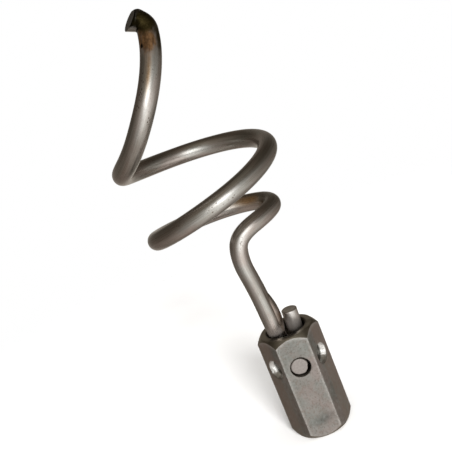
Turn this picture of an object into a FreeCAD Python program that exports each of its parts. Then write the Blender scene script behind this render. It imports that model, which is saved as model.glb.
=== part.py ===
import FreeCAD, Part
import math
import os
import Sketcher
from FreeCAD import Placement, Rotation, Vector

# Spiral tool on a hexagonal drive coupling.
#
# Frame: millimetres. The origin is the centre of the coupling's lower end
# face, at the mouth of the drive thread. +Z runs up the coupling's axis
# towards the spiral. -Y is the coupling flat whose cross hole holds the bent
# end of the spiral bar.
#
# Three pieces:
#   hex_coupling  length of hexagon bar, turned at both ends, with a plain
#                 socket from above, a drive thread from below and one cross
#                 hole through each of its six flats
#   spiral_bar    one round bar: a short tang turned at right angles into the
#                 front cross hole, a shank, a coil of a little over two turns
#                 and a sharply turned, flat-cut point
#   lock_pin      loose round pin that fills the socket behind the bar, so
#                 that the tang can't come back out of its cross hole

doc = FreeCAD.newDocument("spiral_tool")

# --------------------------------------------------------------------------
# Driving dimensions
# --------------------------------------------------------------------------
sheet = doc.addObject("Spreadsheet::Sheet", "dims")

CELLS = [
    # coupling
    ("across_flats", 30.0),
    ("coupling_length", 60.0),
    ("end_face_radius", 14.4),        # flat left inside each end chamfer
    ("end_chamfer_drop", 3.4),        # chamfer height at the corners
    ("socket_diameter", 21.0),
    ("socket_depth", 32.0),
    ("mouth_chamfer", 0.6),
    ("thread_bore_diameter", 11.84),  # minor diameter of M14 x 2
    ("thread_countersink", 1.3),
    ("cross_hole_diameter", 11.0),
    ("cross_hole_height", 42.6),
    ("cross_hole_count", 6),
    # bar
    ("bar_diameter", 9.5),
    ("tang_side", -0.4),              # x of the tang's axis
    ("tang_height", 42.95),           # z of the tang's axis
    ("tang_straight", 5.4),
    ("tang_end_chamfer", 0.5),
    ("point_bend_radius", 5.25),
    ("point_straight", 2.35),
    ("point_end_chamfer", 0.25),
    ("point_spare", 3.0),             # bar left on past the oblique cut
    ("trimmer_size", 24.0),
    ("ridge_bow_radius", 38.0),
    ("ridge_section_radius", 2.5),
    ("ridge_angle", 48.0),
    ("ridge_height", 71.0),
    ("ridge_stand_out", 4.05),         # crest of the ridge's axis off the bar's
    # pin
    ("pin_diameter", 8.5),
    ("pin_length", 39.9),
    ("pin_edge", 0.45),
    ("pin_foot_x", 4.04),
    ("pin_foot_y", 4.2),
    ("pin_foot_z", 28.35),
    ("pin_lean_x", 0.030),            # run of the pin's axis per unit of rise
    ("pin_lean_y", -0.035),
]

# Stations of the hand-bent bar, from the socket's mouth to the start of the
# sharp turn at the point. They sit on the bar's centre line.
STATIONS = [
    (-5.2, -0.6, 58.5),
    (-5.8, -0.8, 67.9),
    (-6.9, -1.5, 87.9),
    (-7.8, -3.3, 107.9),
    (-5.3, -3.7, 114.8),
    (0.7, -3.0, 119.0),
    (7.5, -0.4, 120.8),
    (13.5, 4.1, 122.0),
    (17.3, 10.4, 123.2),
    (15.6, 17.2, 124.3),
    (9.7, 21.8, 125.1),
    (2.5, 24.2, 125.8),
    (-9.8, 24.5, 126.8),
    (-27.3, 17.6, 128.4),
    (-39.0, 3.6, 130.5),
    (-42.4, -14.2, 133.5),
    (-37.0, -30.9, 137.4),
    (-24.1, -42.6, 142.1),
    (-7.3, -46.4, 147.0),
    (8.9, -41.4, 151.4),
    (20.7, -29.0, 155.2),
    (25.0, -12.5, 158.0),
    (20.7, 4.1, 160.0),
    (8.9, 16.6, 161.4),
    (-7.6, 22.0, 162.6),
    (-24.6, 18.8, 163.9),
    (-38.1, 7.8, 165.7),
    (-44.8, -8.5, 168.4),
    (-43.2, -26.4, 172.6),
    (-34.6, -41.7, 180.5),
    (-23.3, -51.7, 193.6),
    (-17.4, -52.5, 201.8),
    (-12.2, -50.0, 210.6),
    (-6.4, -42.0, 228.0),
]

row = 1
for alias, value in CELLS:
    sheet.set("A%d" % row, alias)
    sheet.set("B%d" % row, repr(value))
    sheet.setAlias("B%d" % row, alias)
    row += 1
for number, point in enumerate(STATIONS):
    for axis_name, value in zip(("x", "y", "z"), point):
        alias = "station_%s_%02d" % (axis_name, number)
        sheet.set("A%d" % row, alias)
        sheet.set("B%d" % row, repr(value))
        sheet.setAlias("B%d" % row, alias)
        row += 1
doc.recompute()


def dim(alias):
    return float(sheet.get(alias))


def origin_plane(body, role):
    for feature in body.Origin.OriginFeatures:
        if feature.Role == role:
            return feature
    raise RuntimeError("no " + role)


def new_sketch(body, name, role):
    sketch = body.newObject("Sketcher::SketchObject", name)
    sketch.AttachmentSupport = [(origin_plane(body, role), "")]
    sketch.MapMode = "FlatFace"
    return sketch


def line(sketch, a, b):
    return sketch.addGeometry(
        Part.LineSegment(Vector(a[0], a[1], 0), Vector(b[0], b[1], 0)), False)


def bind(sketch, index, formula):
    sketch.setExpression("Constraints[%d]" % index, formula)


# --------------------------------------------------------------------------
# hex_coupling
# --------------------------------------------------------------------------
coupling = doc.addObject("PartDesign::Body", "hex_coupling")
coupling.Label = "hex_coupling"

# hexagon with its corners on +X and -X, so that two flats face +Y and -Y
hexagon = new_sketch(coupling, "hexagon", "XY_Plane")
corner = dim("across_flats") / math.sqrt(3.0)
corners = [(corner * math.cos(math.radians(60 * i)),
            corner * math.sin(math.radians(60 * i))) for i in range(6)]
for i in range(6):
    line(hexagon, corners[i], corners[(i + 1) % 6])
ring = hexagon.addGeometry(
    Part.Circle(Vector(0, 0, 0), Vector(0, 0, 1), corner), True)
for i in range(6):
    hexagon.addConstraint(Sketcher.Constraint(
        "Coincident", i, 2, (i + 1) % 6, 1))
for i in range(6):
    hexagon.addConstraint(Sketcher.Constraint(
        "PointOnObject", i, 1, ring))
for i in range(5):
    hexagon.addConstraint(Sketcher.Constraint("Equal", i, i + 1))
hexagon.addConstraint(Sketcher.Constraint("Coincident", ring, 3, -1, 1))
hexagon.addConstraint(Sketcher.Constraint("PointOnObject", 0, 1, -1))
index = hexagon.addConstraint(Sketcher.Constraint("Radius", ring, corner))
bind(hexagon, index, "dims.across_flats / sqrt(3)")

blank = coupling.newObject("PartDesign::Pad", "blank")
blank.Profile = hexagon
blank.setExpression("Length", "dims.coupling_length")
doc.recompute()

# The end chamfers and the whole bore are turned: each is a closed profile on
# the XZ plane, cut by one revolution about the coupling's axis.


def turned_cut(name, points, formulas):
    """Groove a closed profile. points are (radius, height); formulas give the
    same two values of each point as expressions."""
    sketch = new_sketch(coupling, name + "_profile", "XZ_Plane")
    count = len(points)
    for i in range(count):
        line(sketch, points[i], points[(i + 1) % count])
    for i in range(count):
        sketch.addConstraint(Sketcher.Constraint(
            "Coincident", i, 2, (i + 1) % count, 1))
    for i in range(count):
        if abs(points[i][0]) < 1e-9:
            sketch.addConstraint(Sketcher.Constraint(
                "PointOnObject", i, 1, -2))
        else:
            k = sketch.addConstraint(Sketcher.Constraint(
                "DistanceX", -1, 1, i, 1, points[i][0]))
            bind(sketch, k, formulas[i][0])
        k = sketch.addConstraint(Sketcher.Constraint(
            "DistanceY", -1, 1, i, 1, points[i][1]))
        bind(sketch, k, formulas[i][1])
    groove = coupling.newObject("PartDesign::Groove", name)
    groove.Profile = sketch
    groove.ReferenceAxis = (sketch, ["V_Axis"])
    groove.Angle = 360.0
    doc.recompute()
    return groove


length = dim("coupling_length")
face_radius = dim("end_face_radius")
drop = dim("end_chamfer_drop")
reach = corner - face_radius
over = 1.0                      # overshoot of each cutter past the blank
slope = drop / reach

turned_cut(
    "top_chamfer",
    [(face_radius - over / slope, length + over),
     (corner + over / slope, length - drop - over),
     (corner + over / slope, length + over)],
    [("dims.end_face_radius - 1 / (dims.end_chamfer_drop / "
      "(dims.across_flats / sqrt(3) - dims.end_face_radius))",
      "dims.coupling_length + 1"),
     ("dims.across_flats / sqrt(3) + 1 / (dims.end_chamfer_drop / "
      "(dims.across_flats / sqrt(3) - dims.end_face_radius))",
      "dims.coupling_length - dims.end_chamfer_drop - 1"),
     ("dims.across_flats / sqrt(3) + 1 / (dims.end_chamfer_drop / "
      "(dims.across_flats / sqrt(3) - dims.end_face_radius))",
      "dims.coupling_length + 1")])

turned_cut(
    "bottom_chamfer",
    [(face_radius - over / slope, -over),
     (corner + over / slope, drop + over),
     (corner + over / slope, -over)],
    [("dims.end_face_radius - 1 / (dims.end_chamfer_drop / "
      "(dims.across_flats / sqrt(3) - dims.end_face_radius))", "-1"),
     ("dims.across_flats / sqrt(3) + 1 / (dims.end_chamfer_drop / "
      "(dims.across_flats / sqrt(3) - dims.end_face_radius))",
      "dims.end_chamfer_drop + 1"),
     ("dims.across_flats / sqrt(3) + 1 / (dims.end_chamfer_drop / "
      "(dims.across_flats / sqrt(3) - dims.end_face_radius))", "-1")])

socket_radius = dim("socket_diameter") / 2
floor = length - dim("socket_depth")
mouth = dim("mouth_chamfer")
bore_radius = dim("thread_bore_diameter") / 2
sink = dim("thread_countersink")

before = coupling.Shape.Volume
turned_cut(
    "bore",
    [(0.0, -over),
     (bore_radius + sink + over, -over),
     (bore_radius, sink),
     (bore_radius, floor),
     (socket_radius, floor),
     (socket_radius, length - mouth),
     (socket_radius + mouth + over, length + over),
     (0.0, length + over)],
    [("0", "-1"),
     ("dims.thread_bore_diameter / 2 + dims.thread_countersink + 1", "-1"),
     ("dims.thread_bore_diameter / 2", "dims.thread_countersink"),
     ("dims.thread_bore_diameter / 2",
      "dims.coupling_length - dims.socket_depth"),
     ("dims.socket_diameter / 2", "dims.coupling_length - dims.socket_depth"),
     ("dims.socket_diameter / 2", "dims.coupling_length - dims.mouth_chamfer"),
     ("dims.socket_diameter / 2 + dims.mouth_chamfer + 1",
      "dims.coupling_length + 1"),
     ("0", "dims.coupling_length + 1")])
removed = before - coupling.Shape.Volume
expected = (math.pi * socket_radius ** 2 * dim("socket_depth")
            + math.pi * bore_radius ** 2 * floor)
if not 0.98 * expected < removed < 1.06 * expected:
    raise RuntimeError("bore removed %.0f, expected %.0f"
                       % (removed, expected))

# one cross hole through the front flat, then one through every flat
hole_sketch = new_sketch(coupling, "cross_hole_circle", "XZ_Plane")
circle = hole_sketch.addGeometry(
    Part.Circle(Vector(0, dim("cross_hole_height"), 0), Vector(0, 0, 1),
                dim("cross_hole_diameter") / 2), False)
hole_sketch.addConstraint(Sketcher.Constraint("PointOnObject", circle, 3, -2))
k = hole_sketch.addConstraint(Sketcher.Constraint(
    "DistanceY", -1, 1, circle, 3, dim("cross_hole_height")))
bind(hole_sketch, k, "dims.cross_hole_height")
k = hole_sketch.addConstraint(Sketcher.Constraint(
    "Radius", circle, dim("cross_hole_diameter") / 2))
bind(hole_sketch, k, "dims.cross_hole_diameter / 2")

before = coupling.Shape.Volume
cross_hole = coupling.newObject("PartDesign::Pocket", "cross_hole")
cross_hole.Profile = hole_sketch
cross_hole.setExpression("Length", "dims.across_flats / 2 + 2")
doc.recompute()
one_hole = before - coupling.Shape.Volume
# the pocket must leave through the front flat, where y is negative
probe = Part.makeCylinder(
    0.5, 3, Vector(0, -14, dim("cross_hole_height")), Vector(0, 1, 0))
if coupling.Shape.common(probe).Volume > 1e-6:
    cross_hole.Reversed = True
    doc.recompute()
    one_hole = before - coupling.Shape.Volume
    if coupling.Shape.common(probe).Volume > 1e-6:
        raise RuntimeError("the cross hole misses the front flat")

ring_of_holes = coupling.newObject("PartDesign::PolarPattern", "cross_holes")
ring_of_holes.Originals = [cross_hole]
ring_of_holes.Axis = (hexagon, ["N_Axis"])
ring_of_holes.Angle = 360.0
ring_of_holes.setExpression("Occurrences", "dims.cross_hole_count")
coupling.Tip = ring_of_holes
doc.recompute()
six_holes = before - coupling.Shape.Volume
if abs(six_holes - 6 * one_hole) > 0.01 * six_holes:
    raise RuntimeError("pattern removed %.1f, one hole %.1f"
                       % (six_holes, one_hole))

# --------------------------------------------------------------------------
# spiral_bar
# --------------------------------------------------------------------------
# The centre line is all straight runs and tangent arcs. Two arcs join each
# pair of neighbouring stations, so the line passes through every station and
# nowhere turns a corner.

tang_end = Vector(dim("tang_side"), -dim("across_flats") / 2,
                  dim("tang_height"))
tang_root = tang_end + Vector(0, dim("tang_straight"), 0)
mouth_direction = Vector(-0.09, 0.08, 1.0).normalize()
bend_direction = Vector(0.1164, 0.4135, 0.9030).normalize()
point_direction = Vector(-0.9031, -0.1891, 0.3854).normalize()
cut_normal = Vector(-0.6914, -0.2702, 0.6701).normalize()

stations = [Vector(dim("station_x_%02d" % i), dim("station_y_%02d" % i),
                   dim("station_z_%02d" % i)) for i in range(len(STATIONS))]
guide = Part.BSplineCurve()
guide.interpolate(Points=stations, InitialTangent=mouth_direction,
                  FinalTangent=bend_direction)

nodes = [(tang_root, Vector(0, 1, 0))]
for i, point in enumerate(stations):
    if i == 0:
        nodes.append((point, mouth_direction))
    elif i == len(stations) - 1:
        nodes.append((point, bend_direction))
    else:
        nodes.append((point, guide.tangent(guide.parameter(point))[0]
                      .normalize()))


def arc_from(start, direction, end):
    """The arc that leaves start along direction and reaches end, with its
    radius and its direction at the end."""
    chord = end - start
    along = Vector(chord).normalize()
    cosine = direction.dot(along)
    side = direction - along * cosine
    half = math.asin(min(1.0, side.Length))
    if half < 1e-4:
        return Part.LineSegment(start, end).toShape(), 0.0, along
    radius = chord.Length / (2 * math.sin(half))
    side.normalize()
    middle = (start + end) * 0.5 + side * (radius * (1 - math.cos(half)))
    end_direction = along * cosine - side * math.sin(half)
    return Part.Arc(start, middle, end).toShape(), radius, end_direction


edges = [Part.LineSegment(tang_end, tang_root).toShape()]
radii = []
turn_error = 0.0
for (p0, t0), (p1, t1) in zip(nodes[:-1], nodes[1:]):
    span = p1 - p0
    both = t0 + t1
    a = 2 * (1 - t0.dot(t1))
    b = span.dot(both)
    reach_out = (-b + math.sqrt(b * b + a * span.dot(span))) / a
    joint = (p0 + t0 * reach_out + p1 - t1 * reach_out) * 0.5
    edge, radius, turned = arc_from(p0, t0, joint)
    edges.append(edge)
    radii.append(radius)
    edge, radius, turned = arc_from(joint, turned, p1)
    edges.append(edge)
    radii.append(radius)
    turn_error = max(turn_error, (turned - t1).Length)
if turn_error > 1e-3:
    raise RuntimeError("the arcs don't meet tangentially: %g" % turn_error)

# the sharp turn at the point and the short run after it
bend = math.acos(bend_direction.dot(point_direction))
inward = (point_direction
          - bend_direction * bend_direction.dot(point_direction)).normalize()
bend_radius = dim("point_bend_radius")
bend_start = stations[-1]
bend_end = (bend_start + bend_direction * (bend_radius * math.sin(bend))
            + inward * (bend_radius * (1 - math.cos(bend))))
edge, radius, turned = arc_from(bend_start, bend_direction, bend_end)
edges.append(edge)
radii.append(radius)
point_end = bend_end + point_direction * dim("point_straight")
spare_end = point_end + point_direction * dim("point_spare")
edges.append(Part.LineSegment(bend_end, spare_end).toShape())

route = doc.addObject("Part::Feature", "bar_route")
route.Label = "bar_route"
route.Shape = Part.Wire(edges)

section = doc.addObject("Part::Circle", "bar_section")
section.setExpression("Radius", "dims.bar_diameter / 2")
section.Placement = Placement(tang_end, Rotation(Vector(0, 0, 1),
                                                 Vector(0, 1, 0)))

drawn_bar = doc.addObject("Part::Sweep", "drawn_bar")
drawn_bar.Sections = [section]
drawn_bar.Spine = (route, ["Edge%d" % (i + 1) for i in range(len(edges))])
drawn_bar.Solid = True
drawn_bar.Frenet = False
doc.recompute()

bar_area = math.pi * dim("bar_diameter") ** 2 / 4
route_length = sum(e.Length for e in edges)
ratio = drawn_bar.Shape.Volume / (bar_area * route_length)
print("bar: %d edges, length %.1f, volume / (section x length) = %.4f"
      % (len(edges), route_length, ratio))
print("bar: arc radii", " ".join("%.1f" % r for r in radii))
if abs(ratio - 1) > 0.005:
    raise RuntimeError("the bar's volume is off")


def end_edge(shape, centre):
    """Number of the circular edge that bounds the flat end at centre."""
    for number, e in enumerate(shape.Edges):
        if (e.BoundBox.Center - centre).Length < 0.2:
            return number + 1
    raise RuntimeError("no end edge at %s" % centre)


# the point is cut off aslant
trimmer = doc.addObject("Part::Box", "trimmer")
for side in ("Length", "Width", "Height"):
    trimmer.setExpression(side, "dims.trimmer_size")
across = Rotation(Vector(0, 0, 1), cut_normal)
half_box = dim("trimmer_size") / 2
trimmer.Placement = Placement(
    point_end + across.multVec(Vector(-half_box, -half_box, 0)), across)
trimmed_bar = doc.addObject("Part::Cut", "trimmed_bar")
trimmed_bar.Base = drawn_bar
trimmed_bar.Tool = trimmer
doc.recompute()
trimmed = drawn_bar.Shape.Volume - trimmed_bar.Shape.Volume
if abs(trimmed - bar_area * dim("point_spare")) > 0.03 * trimmed:
    raise RuntimeError("the point's cut removed %.1f" % trimmed)

eased_bar = doc.addObject("Part::Chamfer", "eased_bar")
eased_bar.Base = trimmed_bar
eased_bar.Edges = [
    (end_edge(trimmed_bar.Shape, tang_end),
     dim("tang_end_chamfer"), dim("tang_end_chamfer")),
    (end_edge(trimmed_bar.Shape, point_end),
     dim("point_end_chamfer"), dim("point_end_chamfer")),
]
doc.recompute()

# forged ridge down the shank's right side, just above the socket: a shallow
# bow of a thinner round that rises out of the bar and sinks back into it
shank_top = stations[2]
shank = (shank_top - stations[1]).normalize()
centre_at_ridge = (stations[1]
                   + shank * ((dim("ridge_height") - stations[1].z) / shank.z))
outward = Vector(1, -0.15, 0)
outward = (outward - shank * outward.dot(shank)).normalize()
half_angle = dim("ridge_angle") / 2
ridge = doc.addObject("Part::Torus", "ridge")
ridge.setExpression("Radius1", "dims.ridge_bow_radius")
ridge.setExpression("Radius2", "dims.ridge_section_radius")
ridge.setExpression("Angle3", "dims.ridge_angle")
turn = FreeCAD.Matrix(
    outward.x, shank.x, outward.cross(shank).x, 0,
    outward.y, shank.y, outward.cross(shank).y, 0,
    outward.z, shank.z, outward.cross(shank).z, 0,
    0, 0, 0, 1)
axes = Placement(turn).Rotation
ridge.Placement = Placement(
    centre_at_ridge + outward * (dim("ridge_stand_out")
                                 - dim("ridge_bow_radius")),
    axes.multiply(Rotation(Vector(0, 0, 1), -half_angle)))

bar = doc.addObject("Part::Fuse", "spiral_bar")
bar.Label = "spiral_bar"
bar.Base = eased_bar
bar.Tool = ridge
doc.recompute()
print("bar: ridge adds %.0f mm3 outside the bar"
      % (bar.Shape.Volume - eased_bar.Shape.Volume))

# --------------------------------------------------------------------------
# lock_pin
# --------------------------------------------------------------------------
pin = doc.addObject("PartDesign::Body", "lock_pin")
pin.Label = "lock_pin"
pin_circle = new_sketch(pin, "pin_circle", "XY_Plane")
circle = pin_circle.addGeometry(
    Part.Circle(Vector(0, 0, 0), Vector(0, 0, 1), dim("pin_diameter") / 2),
    False)
pin_circle.addConstraint(Sketcher.Constraint("Coincident", circle, 3, -1, 1))
k = pin_circle.addConstraint(Sketcher.Constraint(
    "Radius", circle, dim("pin_diameter") / 2))
bind(pin_circle, k, "dims.pin_diameter / 2")
pin_blank = pin.newObject("PartDesign::Pad", "pin_blank")
pin_blank.Profile = pin_circle
pin_blank.setExpression("Length", "dims.pin_length")
doc.recompute()
pin_ends = pin.newObject("PartDesign::Fillet", "pin_ends")
pin_ends.Base = (pin_blank, [
    "Edge%d" % (i + 1) for i, e in enumerate(pin_blank.Shape.Edges)
    if e.BoundBox.ZLength < 1e-6])
pin_ends.setExpression("Radius", "dims.pin_edge")
doc.recompute()
lean = Vector(dim("pin_lean_x"), dim("pin_lean_y"), 1).normalize()
pin.Placement = Placement(
    Vector(dim("pin_foot_x"), dim("pin_foot_y"), dim("pin_foot_z")),
    Rotation(Vector(0, 0, 1), lean))
doc.recompute()

# --------------------------------------------------------------------------
# Checks and export
# --------------------------------------------------------------------------
for obj in doc.Objects:
    states = [str(s) for s in obj.State]
    if "Invalid" in states or "Error" in states:
        raise RuntimeError("%s is in state %s" % (obj.Name, states))

pieces = [coupling, bar, pin]
for piece in pieces:
    shape = piece.Shape
    if shape.isNull() or not shape.isValid() or len(shape.Solids) != 1:
        raise RuntimeError("bad shape: " + piece.Label)
    box = shape.BoundBox
    print("%-13s volume %9.1f  x %.2f..%.2f  y %.2f..%.2f  z %.2f..%.2f"
          % (piece.Label, shape.Volume, box.XMin, box.XMax, box.YMin,
             box.YMax, box.ZMin, box.ZMax))
for i in range(len(pieces)):
    for j in range(i + 1, len(pieces)):
        gap = pieces[i].Shape.distToShape(pieces[j].Shape)[0]
        print("gap %s - %s: %.3f" % (pieces[i].Label, pieces[j].Label, gap))

os.makedirs("parts", exist_ok=True)
for piece in pieces:
    piece.Shape.exportStep("parts/%s.step" % piece.Label)
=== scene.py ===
import math

import bpy
import numpy as np
from mathutils import Matrix, Vector


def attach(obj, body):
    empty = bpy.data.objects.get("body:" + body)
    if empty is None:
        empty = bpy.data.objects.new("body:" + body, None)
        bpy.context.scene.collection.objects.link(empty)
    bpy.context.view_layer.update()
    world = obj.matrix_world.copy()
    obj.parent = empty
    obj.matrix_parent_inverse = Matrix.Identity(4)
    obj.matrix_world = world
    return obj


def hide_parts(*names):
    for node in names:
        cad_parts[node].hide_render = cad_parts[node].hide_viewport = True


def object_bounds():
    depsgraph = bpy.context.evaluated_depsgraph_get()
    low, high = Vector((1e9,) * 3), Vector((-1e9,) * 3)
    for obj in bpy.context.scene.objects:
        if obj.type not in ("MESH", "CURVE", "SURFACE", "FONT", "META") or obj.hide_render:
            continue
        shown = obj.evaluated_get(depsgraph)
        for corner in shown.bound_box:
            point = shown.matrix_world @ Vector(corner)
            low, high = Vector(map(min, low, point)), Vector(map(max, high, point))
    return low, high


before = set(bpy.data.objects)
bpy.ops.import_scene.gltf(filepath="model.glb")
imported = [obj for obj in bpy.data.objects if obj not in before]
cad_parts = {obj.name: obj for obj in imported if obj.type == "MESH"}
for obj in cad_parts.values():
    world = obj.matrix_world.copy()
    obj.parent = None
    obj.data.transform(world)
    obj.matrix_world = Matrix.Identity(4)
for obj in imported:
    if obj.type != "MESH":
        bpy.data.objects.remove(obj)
CAD_BOX = [list(c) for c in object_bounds()]
SCENE = bpy.context.scene
SCENE.view_settings.view_transform = "Standard"

MM = 0.001

# ---------------------------------------------------------------------------
# small mesh helpers
# ---------------------------------------------------------------------------


def new_mesh_object(name, verts, faces, materials):
    """Object from vertices in millimetres and faces of (corners, slot)."""
    mesh = bpy.data.meshes.new(name)
    mesh.from_pydata([tuple(v) for v in np.asarray(verts) * MM], [],
                     [f for f, _ in faces])
    for m in materials:
        mesh.materials.append(m)
    mesh.polygons.foreach_set("material_index", [s for _, s in faces])
    mesh.update()
    obj = bpy.data.objects.new(name, mesh)
    SCENE.collection.objects.link(obj)
    return obj


def smooth_by_angle(mesh, degrees):
    """Smooth shading with sharp edges where two faces meet at more than the
    angle."""
    mesh.polygons.foreach_set("use_smooth", [True] * len(mesh.polygons))
    mesh.set_sharp_from_angle(angle=math.radians(degrees))


def float_attribute(mesh, name, values):
    a = mesh.attributes.new(name, "FLOAT", "POINT")
    a.data.foreach_set("value", np.asarray(values, np.float32))


def vector_attribute(mesh, name, values):
    a = mesh.attributes.new(name, "FLOAT_VECTOR", "POINT")
    a.data.foreach_set("vector", np.asarray(values, np.float32).ravel())


def unit(v):
    v = np.asarray(v, float)
    return v / np.linalg.norm(v)


def step(x, lo, hi):
    t = np.clip((np.asarray(x, float) - lo) / (hi - lo), 0, 1)
    return t * t * (3 - 2 * t)


# ---------------------------------------------------------------------------
# node helpers
# ---------------------------------------------------------------------------


class Nodes:
    def __init__(self, name):
        self.mat = bpy.data.materials.new(name)
        self.mat.use_nodes = True
        self.tree = self.mat.node_tree
        self.tree.nodes.clear()
        self.out = self.tree.nodes.new("ShaderNodeOutputMaterial")

    def node(self, kind, **settings):
        n = self.tree.nodes.new(kind)
        for k, v in settings.items():
            setattr(n, k, v)
        return n

    def link(self, a, b):
        self.tree.links.new(a, b)

    def attribute(self, name, vector=False):
        n = self.node("ShaderNodeAttribute", attribute_name=name)
        return n.outputs["Vector"] if vector else n.outputs["Fac"]

    def position(self):
        return self.node("ShaderNodeTexCoord").outputs["Object"]

    def scaled(self, vector, x, y, z, offset=(0, 0, 0)):
        n = self.node("ShaderNodeMapping")
        self.link(vector, n.inputs["Vector"])
        n.inputs["Scale"].default_value = (x, y, z)
        n.inputs["Location"].default_value = offset
        return n.outputs["Vector"]

    def noise(self, vector, scale=1.0, detail=4.0, rough=0.55, distortion=0.0):
        n = self.node("ShaderNodeTexNoise")
        self.link(vector, n.inputs["Vector"])
        n.inputs["Scale"].default_value = scale
        n.inputs["Detail"].default_value = detail
        n.inputs["Roughness"].default_value = rough
        n.inputs["Distortion"].default_value = distortion
        return n.outputs["Fac"]

    def cells(self, vector, scale=1.0, randomness=1.0):
        n = self.node("ShaderNodeTexVoronoi")
        self.link(vector, n.inputs["Vector"])
        n.inputs["Scale"].default_value = scale
        n.inputs["Randomness"].default_value = randomness
        return n.outputs["Distance"], n.outputs["Color"]

    def span(self, value, a, b, to_a=0.0, to_b=1.0, smooth=True):
        n = self.node("ShaderNodeMapRange")
        n.interpolation_type = "SMOOTHSTEP" if smooth else "LINEAR"
        self.link(value, n.inputs["Value"])
        n.inputs["From Min"].default_value = a
        n.inputs["From Max"].default_value = b
        n.inputs["To Min"].default_value = to_a
        n.inputs["To Max"].default_value = to_b
        return n.outputs["Result"]

    def math(self, op, a, b=None, clamp=False):
        n = self.node("ShaderNodeMath", operation=op, use_clamp=clamp)
        for i, v in enumerate((a, b)):
            if v is None:
                continue
            if isinstance(v, (int, float)):
                n.inputs[i].default_value = v
            else:
                self.link(v, n.inputs[i])
        return n.outputs[0]

    def mix(self, factor, a, b, blend="MIX"):
        n = self.node("ShaderNodeMix", data_type="RGBA", blend_type=blend)
        if isinstance(factor, (int, float)):
            n.inputs[0].default_value = factor
        else:
            self.link(factor, n.inputs[0])
        for i, v in ((6, a), (7, b)):
            if isinstance(v, tuple):
                n.inputs[i].default_value = (*v, 1.0)
            else:
                self.link(v, n.inputs[i])
        return n.outputs[2]

    def bump(self, height, distance, strength=1.0, below=None):
        n = self.node("ShaderNodeBump")
        n.inputs["Strength"].default_value = strength
        n.inputs["Distance"].default_value = distance
        self.link(height, n.inputs["Height"])
        if below is not None:
            self.link(below, n.inputs["Normal"])
        return n.outputs["Normal"]

    def steel(self, color, roughness, normal=None, metallic=1.0):
        b = self.node("ShaderNodeBsdfPrincipled")
        self.link(color, b.inputs["Base Color"])
        self.link(roughness, b.inputs["Roughness"])
        if isinstance(metallic, float):
            b.inputs["Metallic"].default_value = metallic
        else:
            self.link(metallic, b.inputs["Metallic"])
        if normal is not None:
            self.link(normal, b.inputs["Normal"])
        self.link(b.outputs["BSDF"], self.out.inputs["Surface"])
        return self.mat


# ---------------------------------------------------------------------------
# materials
# ---------------------------------------------------------------------------


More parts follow.
